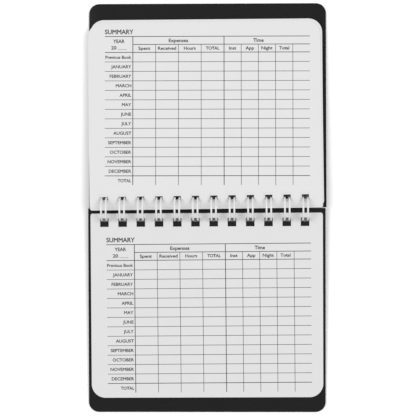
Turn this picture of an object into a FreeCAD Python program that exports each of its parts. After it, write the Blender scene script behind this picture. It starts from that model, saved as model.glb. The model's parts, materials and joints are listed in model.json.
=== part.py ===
import FreeCAD, Part
import os
from math import asin, atan2, cos, degrees, hypot, pi, radians, sin, sqrt

# Wire-bound pocket logbook lying open on a table.
# X runs along the binding, +Y is the front-cover half, -Y the back-cover half,
# Z = 0 is the table. The origin is under the middle of the row of wire loops.
V = FreeCAD.Vector

# binding wire
LOOPS = 12
LOOP_PITCH = 25.4 / 3
WIRE_D = 0.85
RING_R = 5.15          # radius of the wire's centre line
PAIR_GAP = 2.12        # between the two wires of one loop
BEND_R = 1.2           # where a loop turns into the link to the next one
TIP_BACK = 2.4         # how far the closed loop tips stop short of the lowest point
AXIS_Z = RING_R + WIRE_D / 2

# punching, the same in covers and leaves
HOLE = 4.1
STRIP = 2.1            # paper between the spine edge and the holes

# covers
COVER_W, COVER_L, COVER_T = 110.3, 95.0, 0.8
COVER_CORNER = 4.76
COVER_SHIFT = 1.15     # middle of the cover from the middle of the row of holes
COVER_DEPTH = 2.77     # outer face below the ring's axis
FRONT_COVER_START, FRONT_COVER_SLIP = 0.75, 0.17
BACK_COVER_START, BACK_COVER_SLIP = -0.25, -0.24

# leaves
LEAF_W, LEAF_L, LEAF_T = 107.7, 85.7, 0.09
LEAF_CORNER, SPINE_CORNER = 6.35, 0.9
LEAF_SHIFT = 0.9
LEAF_PITCH = 0.102
LEAVES, TURNED = 38, 32   # all leaves, and how many lie on the front cover
FIRST_LEAF = -1.94        # underside of the first leaf, from the ring's axis
PLAY = 0.06               # least room between a leaf's holes and the wire


def outline(x0, x1, s0, s1, far, near):
    """A rectangle from x0 to x1 and s0 to s1, corners rounded at its far and near ends."""
    k = 1 - sqrt(0.5)
    pts, edges = [], []
    for x, s, r, ax, as_ in (
        (x0, s0, near, 1, 1), (x1, s0, near, -1, 1),
        (x1, s1, far, -1, -1), (x0, s1, far, 1, -1),
    ):
        a, b = V(x, s + as_ * r, 0), V(x + ax * r, s, 0)
        mid = V(x + ax * r * k, s + as_ * r * k, 0)
        first = (x == x0) == (s == s0)
        pts.append((a, mid, b) if first else (b, mid, a))
    for i, (a, mid, b) in enumerate(pts):
        if (a - b).Length > 1e-6:
            edges.append(Part.Arc(a, mid, b).toShape())
        edges.append(Part.makeLine(b, pts[(i + 1) % 4][0]))
    return Part.Wire(edges)


def punched(width, shift, start, length, thick, far, near):
    """A sheet with its row of square holes, flat on Z = 0, its spine edge at Y = start."""
    face = Part.Face(outline(
        shift - width / 2, shift + width / 2, start, start + length, far, near))
    sheet = face.extrude(V(0, 0, thick))
    holes = []
    for n in range(LOOPS):
        x = (n - (LOOPS - 1) / 2) * LOOP_PITCH
        holes.append(Part.makeBox(
            HOLE, HOLE, thick + 2, V(x - HOLE / 2, start + STRIP, -1)))
    return sheet.cut(Part.makeCompound(holes))


def slope(start):
    """The angle at which a cover on the ring slopes down to rest its far edge on the table."""
    far = start + COVER_L
    return degrees(asin(AXIS_Z / hypot(COVER_DEPTH, far)) - atan2(COVER_DEPTH, far))


def place(shape, height, back, tilt):
    """Move a flat sheet to its height from the ring's axis, on the front or back half."""
    if back:
        shape = shape.mirror(V(0, 0, 0), V(0, 1, 0))
    shape.translate(V(0, 0, AXIS_Z + height))
    shape.rotate(V(0, 0, AXIS_Z), V(1, 0, 0), tilt if back else -tilt)
    return shape


def ring_span(height):
    """Where the wire passes a sheet at this height from the axis."""
    inner, outer = RING_R - WIRE_D / 2, RING_R + WIRE_D / 2
    return sqrt(inner**2 - height**2), sqrt(outer**2 - height**2)


def leaf_lie(n):
    """How leaf n lies on the ring: sideways shift, start of the leaf, turn in its own plane."""
    low = FIRST_LEAF + (n - 1) * LEAF_PITCH
    far = max(abs(low), abs(low + LEAF_T))
    near = min(abs(low), abs(low + LEAF_T))
    wave = sin(2.4 * n)
    if n > TURNED:
        shift, turn, start = -0.06 + 0.1 * wave, -0.17 + 0.03 * wave, 2.15
    elif n == TURNED:
        shift, turn, start = -0.34, 0.6, 1.0
    elif n == TURNED - 1:
        shift, turn, start = -0.1, 0.7, -0.3
    else:
        shift, turn, start = 0.3 + 0.14 * wave, 0.45 + 0.2 * wave, 2.3
    swing = (LOOPS - 1) / 2 * LOOP_PITCH * sin(radians(abs(turn)))
    most = ring_span(far)[0] - PLAY - swing - STRIP
    least = ring_span(near)[1] + PLAY + swing - STRIP - HOLE
    return shift, min(max(start, least), most), turn


def leaf(n):
    back = n > TURNED
    shift, start, turn = leaf_lie(n)
    sheet = punched(LEAF_W, LEAF_SHIFT, start, LEAF_L, LEAF_T, LEAF_CORNER, SPINE_CORNER)
    sheet.rotate(V(0, start + STRIP + HOLE / 2, 0), V(0, 0, 1), turn)
    sheet.translate(V(shift, 0, 0))
    low = FIRST_LEAF + (n - 1) * LEAF_PITCH
    tilt = slope(BACK_COVER_START if back else FRONT_COVER_START)
    return place(sheet, -low - LEAF_T if back else low, back, tilt)


def cover(start, slip, back):
    sheet = punched(COVER_W, COVER_SHIFT, start, COVER_L, COVER_T, COVER_CORNER, 0)
    sheet.translate(V(slip, 0, 0))
    return place(sheet, -COVER_DEPTH, back, slope(start))


def disc(centre, normal):
    return Part.Face(Part.Wire(Part.makeCircle(WIRE_D / 2, centre, normal)))


def loop(x):
    """One loop of the wire: two rings side by side, a closed tip, and a bend out of each."""
    short = degrees(asin(TIP_BACK / RING_R))
    bottom, pieces = AXIS_Z - RING_R, []
    for side in (-1, 1):
        at = V(x + side * PAIR_GAP / 2, 0, bottom)
        pieces.append(disc(at, V(0, 1, 0)).revolve(V(0, 0, AXIS_Z), V(1, 0, 0), 360 - short))
        pivot = V(at.x + side * BEND_R, 0, bottom)
        pieces.append(disc(at, V(0, 1, 0)).revolve(pivot, V(0, 0, 1), side * 90))
    a = radians(360 - short)
    along = V(0, cos(a), sin(a))
    end = V(x, RING_R * sin(a), AXIS_Z - RING_R * cos(a))
    start = disc(end - V(PAIR_GAP / 2, 0, 0), along)
    pieces.append(start.revolve(end, along.cross(V(1, 0, 0)), 180))
    return pieces


def binding():
    out = PAIR_GAP / 2 + BEND_R
    bottom, pieces = AXIS_Z - RING_R, []
    for n in range(LOOPS):
        x = (n - (LOOPS - 1) / 2) * LOOP_PITCH
        pieces += loop(x)
        if n < LOOPS - 1:
            link = Part.makeCylinder(
                WIRE_D / 2, LOOP_PITCH - 2 * out, V(x + out, -BEND_R, bottom), V(1, 0, 0))
            pieces.append(link)
    return pieces[0].multiFuse(pieces[1:])


os.makedirs("parts", exist_ok=True)
nodes = {
    "front_cover": cover(FRONT_COVER_START, FRONT_COVER_SLIP, False),
    "back_cover": cover(BACK_COVER_START, BACK_COVER_SLIP, True),
    "binding_wire": binding(),
}
for n in range(1, LEAVES + 1):
    nodes["leaf_%02d" % n] = leaf(n)

for name, shape in nodes.items():
    solids = shape.Solids
    if len(solids) != 1 or not shape.isValid():
        print(name, "solids", len(solids), "valid", shape.isValid())
    solid = solids[0] if len(solids) == 1 else shape
    solid.exportStep("parts/%s.step" % name)
box = Part.makeCompound(list(nodes.values())).BoundBox
print("nodes", len(nodes), "size", box.XLength, box.YLength, box.ZLength, "low", box.ZMin)
print("slopes", slope(FRONT_COVER_START), slope(BACK_COVER_START))
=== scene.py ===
import bmesh
import bpy
import json
import random
from math import radians, tan
from mathutils import Matrix, Vector


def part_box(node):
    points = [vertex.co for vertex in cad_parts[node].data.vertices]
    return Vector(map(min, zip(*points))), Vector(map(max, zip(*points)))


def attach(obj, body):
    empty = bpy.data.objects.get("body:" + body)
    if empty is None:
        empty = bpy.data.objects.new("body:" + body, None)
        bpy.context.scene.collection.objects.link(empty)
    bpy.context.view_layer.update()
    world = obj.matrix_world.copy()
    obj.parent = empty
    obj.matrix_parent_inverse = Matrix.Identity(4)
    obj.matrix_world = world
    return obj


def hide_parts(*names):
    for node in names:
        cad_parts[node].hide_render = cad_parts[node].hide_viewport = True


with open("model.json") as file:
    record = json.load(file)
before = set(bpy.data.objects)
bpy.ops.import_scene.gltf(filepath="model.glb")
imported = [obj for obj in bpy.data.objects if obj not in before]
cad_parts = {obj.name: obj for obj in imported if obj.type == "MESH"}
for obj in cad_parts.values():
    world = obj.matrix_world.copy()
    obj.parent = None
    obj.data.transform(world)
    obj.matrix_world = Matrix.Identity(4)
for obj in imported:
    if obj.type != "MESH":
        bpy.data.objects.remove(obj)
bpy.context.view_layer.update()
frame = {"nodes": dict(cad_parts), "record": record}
nodes = frame["nodes"]
bodies = frame["record"]["behaviour"]["bodies"]
MM = 0.001

# camera, looking down on the open pages
CAMERA_RISE = 770 * MM                  # above the level of the lower page
VIEW_WIDTH = 192.94 * MM                # seen at that level
VIEW_SHIFT = (1.52 * MM, 0.4 * MM)      # the view's middle from the middle of the ring
VIEW_ROLL = -0.1                        # degrees
VIEW_LEAN = 1.15                        # degrees off the vertical, towards the right side
SENSOR = 36                             # millimetres wide

# studio, in metres and watts
FLOOR_HALF = 3.0
SOFTBOX_X, SOFTBOX_Y, SOFTBOX_Z = 0.7, 0.12, 1.15
SOFTBOX_SIZE, SOFTBOX_POWER = 0.7, 8.2
SKY_STRENGTH = 0.5

# the printed table, in millimetres from the left end of its top rule
LEFT_VERSO, LEFT_RECTO = 8.0, 7.4      # left end of the rules from the leaf's left edge
TOP_VERSO, TOP_RECTO = 6.6, 14.3       # top rule from the fore edge, or from the spine edge
TABLE_RIGHT = 95.0
HEAD_RULES = (0.0, 3.7, 7.4)
ROW, ROWS = 4.41, 13
COLUMNS = (13.0, 23.6, 34.15, 44.7, 55.3, 63.25, 71.2, 79.15, 87.15)
HEAVY_COLUMNS = (0, 4)
THIN, MEDIUM, HEAVY = 0.235, 0.32, 0.35
COLUMN_SHORT = 0.1      # how far the columns stop above the foot of the last row
TITLE_CAP, GROUP_CAP, HEAD_CAP, LABEL_CAP = 2.0, 1.55, 1.42, 1.4        # cap heights
GROUP_BASE, HEAD_BASE = -2.65, -6.2     # baselines of the two rows of column heads
BLANK_LEFT, BLANK_RIGHT, BLANK_Y = 5.9, 10.2, -6.1      # where the year's last digits go
LABEL_GAP, LABEL_BASE = 0.7, 2.95       # row labels: from the first column, from the rule above
LABEL_STRETCH, FIRST_STRETCH, LAST_STRETCH = 1.04, 0.99, 0.955
INK_PROUD, INK_DEEP = 0.005, 0.02
SLACK = 0.15            # degrees that the print of a leaf may be turned
OPEN_PAGES = {           # sideways, upwards and turn of the print on the two open pages
    "front_leaf_1": (-0.13, 0.43, -0.63),
    "back_leaf_1": (-0.14, -0.04, 0.22),
}
MONTHS = ("JANUARY", "FEBRUARY", "MARCH", "APRIL", "MAY", "JUNE", "JULY", "AUGUST",
          "SEPTEMBER", "OCTOBER", "NOVEMBER", "DECEMBER")
HEADS = (("Spent", 5.6), ("Received", 8.5), ("Hours", 5.5), ("TOTAL", 6.3),
         ("Inst", 3.4), ("App", 4.0), ("Night", 5.2), ("Total", 4.7))
PAPER_TONES = (("a", 0.638), ("b", 0.649), ("c", 0.636))     # sheets of one ream differ a little
LETTER_CAP = 0.682      # cap height of the lettering at size 1
LETTER_WEIGHT = 0.027   # how much its strokes are fattened, at size 1
FACING = 0.9            # least part of a normal along Z on a leaf's flat faces

BOARD_WEAR = 0.14 * MM  # radius of the covers' rubbed edges
GRAIN = 0.62 * MM       # size of the leather grain's pebbles


# ---------------------------------------------------------------- materials
class Shader:
    """A Principled material whose colour and bump come from textures in object coordinates."""

    def __init__(self, name, **sockets):
        self.mat = bpy.data.materials.new(name)
        self.mat.use_nodes = True
        self.tree = self.mat.node_tree
        self.bsdf = self.tree.nodes["Principled BSDF"]
        for socket, value in sockets.items():
            self.bsdf.inputs[socket.replace("_", " ")].default_value = value
        self.place = self.node("ShaderNodeTexCoord").outputs["Object"]

    def node(self, kind, **sockets):
        made = self.tree.nodes.new(kind)
        for socket, value in sockets.items():
            made.inputs[socket.replace("_", " ")].default_value = value
        return made

    def link(self, a, b):
        self.tree.links.new(a, b)

    def stretched(self, scale):
        mapping = self.node("ShaderNodeMapping")
        mapping.inputs["Scale"].default_value = scale
        self.link(self.place, mapping.inputs["Vector"])
        return mapping.outputs["Vector"]

    def noise(self, size, detail=3.0, rough=0.5, place=None):
        made = self.node("ShaderNodeTexNoise", Scale=1 / size, Detail=detail, Roughness=rough)
        self.link(place or self.place, made.inputs["Vector"])
        return made.outputs["Fac"]

    def cells(self, size, feature, place):
        made = self.node("ShaderNodeTexVoronoi", Scale=1 / size)
        made.feature = feature
        self.link(place, made.inputs["Vector"])
        return made.outputs["Distance"]

    def ramp(self, value, *stops):
        """stops are (position, grey)."""
        made = self.node("ShaderNodeValToRGB")
        points = made.color_ramp.elements
        while len(points) < len(stops):
            points.new(0.5)
        for point, (at, tone) in zip(points, stops):
            point.position = at
            point.color = (tone, tone, tone, 1)
        self.link(value, made.inputs["Fac"])
        return made.outputs["Color"]

    def mix(self, a, b, amount):
        made = self.node("ShaderNodeMix")
        made.data_type = "RGBA"
        made.inputs["Factor"].default_value = amount
        self.link(a, made.inputs["A"])
        self.link(b, made.inputs["B"])
        return made.outputs["Result"]

    def bump(self, height, depth, strength, under=None):
        made = self.node("ShaderNodeBump", Strength=strength, Distance=depth)
        self.link(height, made.inputs["Height"])
        if under:
            self.link(under, made.inputs["Normal"])
        return made.outputs["Normal"]

    def set(self, **outputs):
        for socket, output in outputs.items():
            self.link(output, self.bsdf.inputs[socket.replace("_", " ")])
        return self.mat


def paper_material(name, tone):
    s = Shader(name, Roughness=0.85, Specular_IOR_Level=0.25)
    cloud = s.noise(7 * MM, 4.0, 0.6)
    fibre = s.noise(0.35 * MM, 3.0, 0.6, s.stretched((1.0, 2.6, 1.0)))
    colour = s.mix(s.ramp(cloud, (0.3, tone - 0.009), (0.7, tone + 0.009)),
                   s.ramp(fibre, (0.3, tone - 0.015), (0.7, tone + 0.015)), 0.5)
    return s.set(Base_Color=colour, Normal=s.bump(fibre, 0.012 * MM, 0.5))


def cover_material(name, dark, light, rough):
    s = Shader(name, Specular_IOR_Level=0.17)
    bent = s.node("ShaderNodeVectorMath")
    bent.operation = "MULTIPLY_ADD"
    bent.inputs[1].default_value = (0.3 * MM,) * 3
    wander = s.node("ShaderNodeTexNoise", Scale=1 / (1.1 * MM), Detail=2.0)
    s.link(s.place, wander.inputs["Vector"])
    s.link(wander.outputs["Color"], bent.inputs[0])
    s.link(s.place, bent.inputs[2])
    grain = s.cells(GRAIN, "SMOOTH_F1", bent.outputs[0])
    # distance to the grain's cell edges, used below to paint shade into the creases
    crease_shade = s.cells(GRAIN, "DISTANCE_TO_EDGE", bent.outputs[0])
    patch = s.noise(3.2 * MM, 4.0, 0.6)
    fine = s.noise(0.12 * MM, 2.0)
    # colour: painted shade darkens the grain's creases, mixed with random darker and lighter
    # patches
    colour = s.mix(s.ramp(crease_shade, (0.0, dark * 0.7), (0.25, (dark + light) / 2)),
                   s.ramp(patch, (0.35, dark), (0.65, light)), 0.55)
    normal = s.bump(fine, 0.006 * MM, 0.5, s.bump(grain, 0.11 * MM, 0.7))
    gloss = s.ramp(patch, (0.3, rough - 0.08), (0.7, rough + 0.08))
    return s.set(Base_Color=colour, Roughness=gloss, Normal=normal)


def wire_material():
    s = Shader("wire_coating", Roughness=0.34, Coat_Weight=0.25, Coat_Roughness=0.2)
    spray = s.noise(0.22 * MM, 2.0)
    drift = s.noise(5 * MM, 3.0)
    colour = s.mix(s.ramp(drift, (0.3, 0.68), (0.7, 0.72)),
                   s.ramp(spray, (0.35, 0.67), (0.65, 0.73)), 0.4)
    return s.set(Base_Color=colour, Normal=s.bump(spray, 0.01 * MM, 0.5))


def ink_material():
    s = Shader("printing_ink", Roughness=0.6, Specular_IOR_Level=0.3)
    mottle = s.noise(0.3 * MM, 3.0, 0.6)
    return s.set(Base_Color=s.ramp(mottle, (0.3, 0.018), (0.7, 0.04)),
                 Normal=s.bump(mottle, 0.004 * MM, 0.4))


def floor_material():
    s = Shader("studio_floor", Roughness=0.9, Specular_IOR_Level=0.1)
    return s.set(Base_Color=s.ramp(s.noise(0.4, 2.0), (0.3, 0.955), (0.7, 0.965)))


# ---------------------------------------------------------------- small helpers
def piece(name, mesh, materials, body, replaced=()):
    made = bpy.data.objects.new(name, mesh)
    bpy.context.scene.collection.objects.link(made)
    for material in materials:
        mesh.materials.append(material)
    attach(made, body)
    if replaced:
        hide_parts(*replaced)
    return made


def welded(node):
    """A CAD node's mesh as a bmesh whose shared corners are one vertex."""
    bm = bmesh.new()
    bm.from_mesh(nodes[node].data)
    bmesh.ops.remove_doubles(bm, verts=bm.verts, dist=0.001 * MM)
    return bm


def rounded_board(node, material, edge_material):
    """A cover board with its cut edges rubbed round, in place of the CAD node of that name."""
    name = node + "_board"
    bm = welded(node)
    bmesh.ops.dissolve_limit(bm, angle_limit=radians(0.5), verts=bm.verts, edges=bm.edges)
    mesh = bpy.data.meshes.new(name)
    bm.to_mesh(mesh)
    bm.free()
    made = piece(name, mesh, (material, edge_material), node, (node,))
    bevel = made.modifiers.new("rubbed_edges", "BEVEL")
    bevel.width, bevel.segments, bevel.limit_method = BOARD_WEAR, 3, "ANGLE"
    bevel.angle_limit, bevel.material, bevel.harden_normals = radians(40), 1, True


# ---------------------------------------------------------------- the printed table
def spans(lines, start, end):
    """The sorted cuts that a set of (middle, width) lines makes between start and end."""
    cuts = {start, end}
    for middle, width in lines:
        cuts |= {middle - width / 2, middle + width / 2}
    return sorted(cuts)


def rule_grid(bm):
    """All rules of the table as one closed film."""
    across = [(y, MEDIUM) for y in HEAD_RULES]
    across += [(HEAD_RULES[2] + ROW * n, MEDIUM if n == ROWS else THIN)
               for n in range(1, ROWS + 1)]
    down = [(x, HEAVY if n in HEAVY_COLUMNS else THIN) for n, x in enumerate(COLUMNS)]
    bottom = across[-1][0] + ROW - COLUMN_SHORT
    xs, ys = spans(down, 0.0, TABLE_RIGHT), spans(across, -MEDIUM / 2, bottom)

    def inked(x, y):
        for n, (at, width) in enumerate(across):
            if abs(y - at) < width / 2 and (n != 1 or x > COLUMNS[0]):
                return True
        for n, (at, width) in enumerate(down):
            top = 0 if n in HEAVY_COLUMNS else HEAD_RULES[1]
            if abs(x - at) < width / 2 and y > top:
                return True
        return False

    film = set()
    for i in range(len(xs) - 1):
        for j in range(len(ys) - 1):
            if inked((xs[i] + xs[i + 1]) / 2, (ys[j] + ys[j + 1]) / 2):
                film.add((i, j))
    corners = {}

    def corner(i, j, high):
        key = (i, j, high)
        if key not in corners:
            corners[key] = bm.verts.new((xs[i], -ys[j], INK_PROUD if high else -INK_DEEP))
        return corners[key]

    for i, j in film:
        square = [(i, j), (i, j + 1), (i + 1, j + 1), (i + 1, j)]
        bm.faces.new([corner(*c, True) for c in square])
        bm.faces.new([corner(*c, False) for c in reversed(square)])
        for n, step in enumerate(((-1, 0), (0, 1), (1, 0), (0, -1))):
            if (i + step[0], j + step[1]) not in film:
                a, b = square[n], square[(n + 1) % 4]
                bm.faces.new([corner(*b, True), corner(*a, True),
                              corner(*a, False), corner(*b, False)])


def lettering(text):
    """A word as a closed bmesh at size 1, its baseline on y = 0, with fattened strokes."""
    curve = bpy.data.curves.new("word", "FONT")
    curve.body, curve.resolution_u, curve.extrude = text, 3, 0.05
    word = bpy.data.objects.new("word", curve)
    mesh = bpy.data.meshes.new_from_object(word)
    bm = bmesh.new()
    bm.from_mesh(mesh)
    bpy.data.objects.remove(word)
    bpy.data.meshes.remove(mesh)
    bpy.data.curves.remove(curve)
    bmesh.ops.remove_doubles(bm, verts=bm.verts, dist=0.0005)
    shifts = []
    for vert in bm.verts:
        walls = [f.normal for f in vert.link_faces if abs(f.normal.z) < 0.5]
        total = sum(walls, Vector())
        shifts.append(total / max(0.4, walls[0].dot(total)) if walls else total)
    for vert, shift in zip(bm.verts, shifts):
        vert.co += shift * LETTER_WEIGHT
    return bm


def set_word(bm, text, x, y, cap, width=None, align="left", stretch=1.0):
    """Add a word with its baseline at y, cap high, and as wide as width or stretch says."""
    word = lettering(text)
    left = min(v.co.x for v in word.verts)
    wide = max(v.co.x for v in word.verts) - left
    tall = cap / LETTER_CAP
    broad = width / wide if width else tall * stretch
    start = x - {"left": 0.0, "middle": 0.5, "right": 1.0}[align] * wide * broad
    for v in word.verts:
        v.co = (start + (v.co.x - left) * broad, y + v.co.y * tall,
                INK_PROUD if v.co.z > 0 else -INK_DEEP)
    mesh = bpy.data.meshes.new("word")
    word.to_mesh(mesh)
    word.free()
    bm.from_mesh(mesh)
    bpy.data.meshes.remove(mesh)


def bar(bm, x0, x1, y, width):
    """A short ruled blank, closed."""
    bmesh.ops.create_cube(bm, size=1, matrix=Matrix.Translation(
        ((x0 + x1) / 2, y, (INK_PROUD - INK_DEEP) / 2)) @ Matrix.Diagonal(
        (x1 - x0, width, INK_PROUD + INK_DEEP, 1)))


def table_print():
    """The whole printed side, in millimetres, from the left end of the top rule."""
    bm = bmesh.new()
    rule_grid(bm)
    set_word(bm, "SUMMARY", 0, 1.15, TITLE_CAP, 13.3)
    set_word(bm, "YEAR", COLUMNS[0] / 2, -3.0, GROUP_CAP, 5.4, "middle")
    set_word(bm, "20", 2.9, -6.0, 1.5, 2.5)
    bar(bm, BLANK_LEFT, BLANK_RIGHT, BLANK_Y, 0.6 * THIN)
    expenses, time = (COLUMNS[0] + COLUMNS[4]) / 2, (COLUMNS[4] + COLUMNS[8]) / 2
    set_word(bm, "Expenses", expenses, GROUP_BASE, GROUP_CAP, 9.0, "middle")
    set_word(bm, "Time", time, GROUP_BASE, 1.6, 4.9, "middle")
    for n, (head, width) in enumerate(HEADS):
        middle = (COLUMNS[n] + COLUMNS[n + 1]) / 2
        set_word(bm, head, middle, HEAD_BASE, HEAD_CAP, width, "middle")
    for n, label in enumerate(("Previous Book",) + MONTHS + ("TOTAL",)):
        stretch = {0: FIRST_STRETCH, ROWS: LAST_STRETCH}.get(n, LABEL_STRETCH)
        base = -HEAD_RULES[2] - ROW * n - LABEL_BASE
        set_word(bm, label, COLUMNS[0] - LABEL_GAP, base, LABEL_CAP, None, "right", stretch)
    bmesh.ops.recalc_face_normals(bm, faces=bm.faces)
    return bm


def spine_edge(node, side):
    """Both ends of a leaf's spine edge, the longest straight edge round its upper or lower face."""
    mesh, uses = nodes[node].data, {}
    for face in mesh.polygons:
        if face.normal.z * side > FACING:
            for key in face.edge_keys:
                uses[key] = uses.get(key, 0) + 1
    rim = [key for key, count in uses.items() if count == 1]
    ends = [[mesh.vertices[i].co for i in key] for key in rim]
    a, b = max(ends, key=lambda e: (e[0] - e[1]).length)
    return sorted((a, b), key=lambda co: co.x)


def print_page(node, side, body, film, material, slip):
    """One printed side of a leaf; side is 1 for the face that looks up at rest, -1 for the other.

    slip is how far the print lies off its place: sideways, upwards, and its turn in degrees.
    """
    a, b = spine_edge(node, side)
    lo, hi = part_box(node)
    right = (b - a).normalized()
    leaf_mesh = nodes[node].data
    faces = [f for f in leaf_mesh.polygons if f.normal.z * side > FACING]
    out = sum((f.normal * f.area for f in faces), Vector())
    out = (out - right * out.dot(right)).normalized()
    up = out.cross(right)
    verso = up.y * (lo[1] + hi[1]) > 0
    middle = (a + b) / 2
    across, along = ([(v.co - middle).dot(axis) for v in leaf_mesh.vertices]
                     for axis in (right, up))
    x = min(across) / MM + (LEFT_VERSO if verso else LEFT_RECTO)
    y = max(along) / MM - TOP_VERSO if verso else -TOP_RECTO
    basis = Matrix((right, up, out)).transposed().to_4x4()
    place = Matrix.Translation(middle) @ basis @ Matrix.Diagonal((MM, MM, MM, 1))
    name = "print_%s_%s" % (node, "verso" if verso else "recto")
    mesh = bpy.data.meshes.new(name)
    film.to_mesh(mesh)
    turn = Matrix.Rotation(radians(slip[2]), 4, "Z")
    mesh.transform(place @ Matrix.Translation((x + slip[0], y + slip[1], 0)) @ turn)
    piece(name, mesh, (material,), body)


# ---------------------------------------------------------------- making
chance = random.Random(7)
cover = cover_material("cover_leatherette", 0.003, 0.006, 0.55)
worn = cover_material("cover_worn_edge", 0.01, 0.024, 0.65)
wire, ink = wire_material(), ink_material()
papers = [paper_material("paper_stock_" + key, tone) for key, tone in PAPER_TONES]
leaves = [n for n in sorted(nodes) if n.startswith("leaf_")]
for n, leaf in enumerate(leaves):
    nodes[leaf].data.materials[0] = papers[n % len(papers)]
nodes["binding_wire"].data.materials[0] = wire
for board in ("front_cover", "back_cover"):
    rounded_board(board, cover, worn)

film = table_print()
for body, members in sorted(bodies.items()):
    sheets = [n for n in sorted(members) if n.startswith("leaf_")]
    if sheets:
        if body.startswith("back"):
            sheets.reverse()
        slack = (0.0, 0.0, chance.uniform(-SLACK, SLACK))
        print_page(sheets[-1], 1, body, film, ink, OPEN_PAGES.get(body, slack))
        print_page(sheets[0], -1, body, film, ink, slack)
film.free()

# ---------------------------------------------------------------- studio
floor_mesh = bpy.data.meshes.new("floor")
turns = ((-1, -1), (1, -1), (1, 1), (-1, 1))
floor_mesh.from_pydata([(FLOOR_HALF * x, FLOOR_HALF * y, 0) for x, y in turns], [], [(0, 1, 2, 3)])
floor = bpy.data.objects.new("floor", floor_mesh)
floor_mesh.materials.append(floor_material())
bpy.context.scene.collection.objects.link(floor)


def softbox(name, at):
    """A square lamp that faces the origin."""
    light = bpy.data.lights.new(name, "AREA")
    light.shape, light.size, light.energy = "SQUARE", SOFTBOX_SIZE, SOFTBOX_POWER
    made = bpy.data.objects.new(name, light)
    made.location = at
    made.rotation_euler = (-Vector(at)).to_track_quat("-Z", "Y").to_euler()
    bpy.context.scene.collection.objects.link(made)


softbox("softbox_left", (-SOFTBOX_X, SOFTBOX_Y, SOFTBOX_Z))
softbox("softbox_right", (SOFTBOX_X, SOFTBOX_Y, SOFTBOX_Z))
world = bpy.data.worlds.new("studio")
bpy.context.scene.world = world
world.use_nodes = True
sky = world.node_tree.nodes["Background"]
sky.inputs["Color"].default_value = (1, 1, 1, 1)
sky.inputs["Strength"].default_value = SKY_STRENGTH
bpy.context.scene.view_settings.view_transform = "Standard"

page_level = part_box(bodies["back_leaf_1"][0])[1][2]
camera = bpy.data.objects.new("camera", bpy.data.cameras.new("camera"))
camera.location = (VIEW_SHIFT[0] + CAMERA_RISE * tan(radians(VIEW_LEAN)), VIEW_SHIFT[1],
                   page_level + CAMERA_RISE)
camera.rotation_mode = "ZYX"
camera.rotation_euler = (0, radians(VIEW_LEAN), radians(VIEW_ROLL))
camera.data.sensor_width = SENSOR
camera.data.lens = SENSOR * CAMERA_RISE / VIEW_WIDTH
bpy.context.scene.collection.objects.link(camera)
bpy.context.scene.camera = camera
